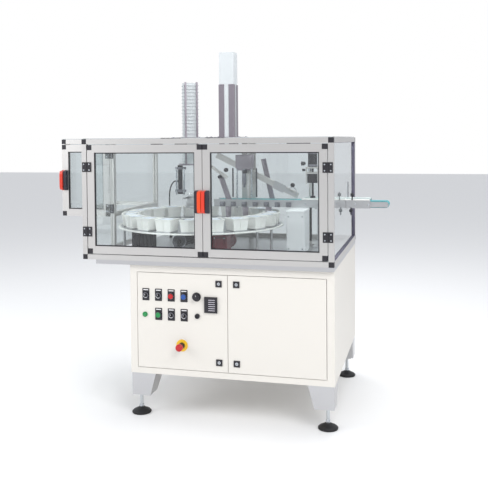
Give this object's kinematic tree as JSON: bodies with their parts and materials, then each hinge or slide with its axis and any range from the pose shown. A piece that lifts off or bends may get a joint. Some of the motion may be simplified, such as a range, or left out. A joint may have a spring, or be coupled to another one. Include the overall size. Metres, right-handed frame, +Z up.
{
  "type": "carton filling machine",
  "caption": "Guarded rotary carton filling machine with a turntable, two magazines and an outfeed belt on a cabinet with levelling feet.",
  "frame": {"origin": "on the floor, at the middle of the four feet", "axes": "+X to the right along the front, +Y to the rear, +Z up"},
  "size_m": [2.0812, 1.208, 2.207],
  "materials": {
    "cream_paint": "satin powder coat",
    "stainless": "brushed",
    "anodised": "natural anodised",
    "zinc_plate": "bright zinc plated",
    "clear_sheet": "clear polycarbonate",
    "black_plastic": "moulded",
    "white_paint": "satin",
    "red_paint": "satin",
    "dark_paint": "satin",
    "teal_belt": "matte",
    "hose_rubber": "smooth",
    "frosted_stack": "translucent",
    "white_plastic": "moulded",
    "red_plastic": "moulded",
    "yellow_plastic": "moulded",
    "green_plastic": "moulded",
    "red_button": "moulded",
    "blue_button": "moulded"
  },
  "bodies": {
    "base": {"legs": "stainless", "cabinet_shell": "cream_paint", "table_plate": "stainless", "guard_profiles": "anodised", "guard_fittings": "black_plastic", "fixed_panes": "clear_sheet", "right_pane": "clear_sheet", "roof_sheet": "clear_sheet", "table_drive": "stainless", "gearmotor": "red_paint", "table_motor": "dark_paint", "belt_drive_cover": "white_paint", "belt_frame": "stainless", "outfeed_belt": "teal_belt", "station_frames": "anodised", "magazine_guides": "stainless", "magazine_stacks": "frosted_stack", "air_hose": "hose_rubber", "electrical_plate": "zinc_plate", "cylinders_and_valves": "black_plastic"},
    "turntable": {"turntable_disc": "stainless", "tubs": "white_plastic"},
    "guard_door_left": {"door_left_frame": "anodised", "door_left_pane": "clear_sheet", "door_left_fittings": "black_plastic", "door_left_handle": "red_plastic"},
    "guard_door_right": {"door_right_frame": "anodised", "door_right_pane": "clear_sheet", "door_right_fittings": "black_plastic", "door_right_handle": "red_plastic"},
    "guard_side_door": {"side_door_frame": "anodised", "side_door_pane": "clear_sheet", "side_door_fittings": "black_plastic", "side_door_handle": "red_plastic"},
    "panel_door": {"cabinet_door_left": "cream_paint", "panel_fittings": "black_plastic", "estop_plate": "yellow_plastic", "pilot_lamp": "green_plastic"},
    "service_door": {"cabinet_door_right": "cream_paint"},
    "selector_one_body": {"selector_one": "black_plastic"},
    "selector_two_body": {"selector_two": "black_plastic"},
    "selector_three_body": {"selector_three": "black_plastic"},
    "selector_four_body": {"selector_four": "black_plastic"},
    "button_red_body": {"button_red": "red_button"},
    "button_blue_body": {"button_blue": "blue_button"},
    "button_green_body": {"button_green": "green_plastic"},
    "speed_knob_body": {"speed_knob": "black_plastic"},
    "estop_button_body": {"estop_button": "red_button"},
    "lock_left_lower_body": {"lock_left_lower": "zinc_plate"},
    "lock_left_upper_body": {"lock_left_upper": "zinc_plate"},
    "lock_right_lower_body": {"lock_right_lower": "zinc_plate"},
    "lock_right_upper_body": {"lock_right_upper": "zinc_plate"},
    "foot_front_left_body": {"foot_front_left": "black_plastic"},
    "foot_front_right_body": {"foot_front_right": "black_plastic"},
    "foot_rear_left_body": {"foot_rear_left": "black_plastic"},
    "foot_rear_right_body": {"foot_rear_right": "black_plastic"},
    "roller_tail_body": {"roller_tail": "stainless"},
    "roller_head_body": {"roller_head": "stainless"},
    "transfer_carriage_body": {"transfer_carriage": "stainless"},
    "press_head_body": {"press_head": "black_plastic"}
  },
  "joints": [
    {"name": "turntable_turn", "type": "hinge", "parent": "base", "child": "turntable", "pos_m": [-0.323, -0.01, 1.085], "axis": [0, 0, 1], "continuous": true},
    {"name": "guard_door_left_swing", "type": "hinge", "parent": "base", "child": "guard_door_left", "pos_m": [-0.84575, -0.5915, 1.284], "axis": [0, 0, -1], "range_deg": [0, 110]},
    {"name": "guard_door_right_swing", "type": "hinge", "parent": "base", "child": "guard_door_right", "pos_m": [0.57975, -0.5915, 1.284], "axis": [0, 0, 1], "range_deg": [0, 110]},
    {"name": "guard_side_door_swing", "type": "hinge", "parent": "base", "child": "guard_side_door", "pos_m": [-0.87925, -0.2065, 1.373], "axis": [0, 0, 1], "range_deg": [0, 80]},
    {"name": "panel_door_swing", "type": "hinge", "parent": "base", "child": "panel_door", "pos_m": [-0.5435, -0.554, 0.579], "axis": [0, 0, -1], "range_deg": [0, 120]},
    {"name": "service_door_swing", "type": "hinge", "parent": "base", "child": "service_door", "pos_m": [0.5625, -0.554, 0.579], "axis": [0, 0, 1], "range_deg": [0, 120]},
    {"name": "selector_one_turn", "type": "hinge", "parent": "panel_door", "child": "selector_one_body", "pos_m": [-0.49405, -0.557, 0.726], "axis": [0, 1, 0], "range_deg": [-45, 45]},
    {"name": "selector_two_turn", "type": "hinge", "parent": "panel_door", "child": "selector_two_body", "pos_m": [-0.41576, -0.557, 0.726], "axis": [0, 1, 0], "range_deg": [-45, 45]},
    {"name": "selector_three_turn", "type": "hinge", "parent": "panel_door", "child": "selector_three_body", "pos_m": [-0.33748, -0.557, 0.614], "axis": [0, 1, 0], "range_deg": [-45, 45]},
    {"name": "selector_four_turn", "type": "hinge", "parent": "panel_door", "child": "selector_four_body", "pos_m": [-0.25919, -0.557, 0.614], "axis": [0, 1, 0], "range_deg": [-45, 45]},
    {"name": "button_red_press", "type": "slide", "parent": "panel_door", "child": "button_red_body", "axis": [0, 1, 0], "range_m": [0, 0.003], "stiffness_N_per_m": 500},
    {"name": "button_blue_press", "type": "slide", "parent": "panel_door", "child": "button_blue_body", "axis": [0, 1, 0], "range_m": [0, 0.003], "stiffness_N_per_m": 500},
    {"name": "button_green_press", "type": "slide", "parent": "panel_door", "child": "button_green_body", "axis": [0, 1, 0], "range_m": [0, 0.003], "stiffness_N_per_m": 500},
    {"name": "speed_knob_turn", "type": "hinge", "parent": "panel_door", "child": "speed_knob_body", "pos_m": [-0.1829, -0.557, 0.728], "axis": [0, 1, 0], "range_deg": [0, 270]},
    {"name": "estop_press", "type": "slide", "parent": "panel_door", "child": "estop_button_body", "axis": [0, 1, 0], "range_m": [0, 0.005]},
    {"name": "lock_left_lower_turn", "type": "hinge", "parent": "panel_door", "child": "lock_left_lower_body", "pos_m": [-0.0505, -0.557, 0.355], "axis": [0, 1, 0], "range_deg": [0, 90]},
    {"name": "lock_left_upper_turn", "type": "hinge", "parent": "panel_door", "child": "lock_left_upper_body", "pos_m": [-0.0505, -0.557, 0.808], "axis": [0, 1, 0], "range_deg": [0, 90]},
    {"name": "lock_right_lower_turn", "type": "hinge", "parent": "service_door", "child": "lock_right_lower_body", "pos_m": [0.0535, -0.557, 0.355], "axis": [0, -1, 0], "range_deg": [0, 90]},
    {"name": "lock_right_upper_turn", "type": "hinge", "parent": "service_door", "child": "lock_right_upper_body", "pos_m": [0.0535, -0.557, 0.808], "axis": [0, -1, 0], "range_deg": [0, 90]},
    {"name": "foot_front_left_turn", "type": "hinge", "parent": "base", "child": "foot_front_left_body", "pos_m": [-0.561, -0.478, 0.13], "axis": [0, 0, 1], "continuous": true},
    {"name": "foot_front_right_turn", "type": "hinge", "parent": "base", "child": "foot_front_right_body", "pos_m": [0.561, -0.478, 0.13], "axis": [0, 0, 1], "continuous": true},
    {"name": "foot_rear_left_turn", "type": "hinge", "parent": "base", "child": "foot_rear_left_body", "pos_m": [-0.561, 0.478, 0.13], "axis": [0, 0, 1], "continuous": true},
    {"name": "foot_rear_right_turn", "type": "hinge", "parent": "base", "child": "foot_rear_right_body", "pos_m": [0.561, 0.478, 0.13], "axis": [0, 0, 1], "continuous": true},
    {"name": "roller_head_turn", "type": "hinge", "parent": "base", "child": "roller_head_body", "pos_m": [0.847, 0.173, 1.214], "axis": [0, 1, 0], "continuous": true},
    {"name": "roller_tail_turn", "type": "hinge", "parent": "base", "child": "roller_tail_body", "pos_m": [-0.25, 0.173, 1.214], "axis": [0, 1, 0], "continuous": true},
    {"name": "transfer_slide", "type": "slide", "parent": "base", "child": "transfer_carriage_body", "axis": [0.8996, 0, -0.4367], "range_m": [-0.38, 0]},
    {"name": "press_slide", "type": "slide", "parent": "base", "child": "press_head_body", "axis": [0, 0, 1], "range_m": [0, 0.04]}
  ],
  "couplings": [
    {"joint": "roller_tail_turn", "follows": "roller_head_turn", "ratio": 1}
  ]
}
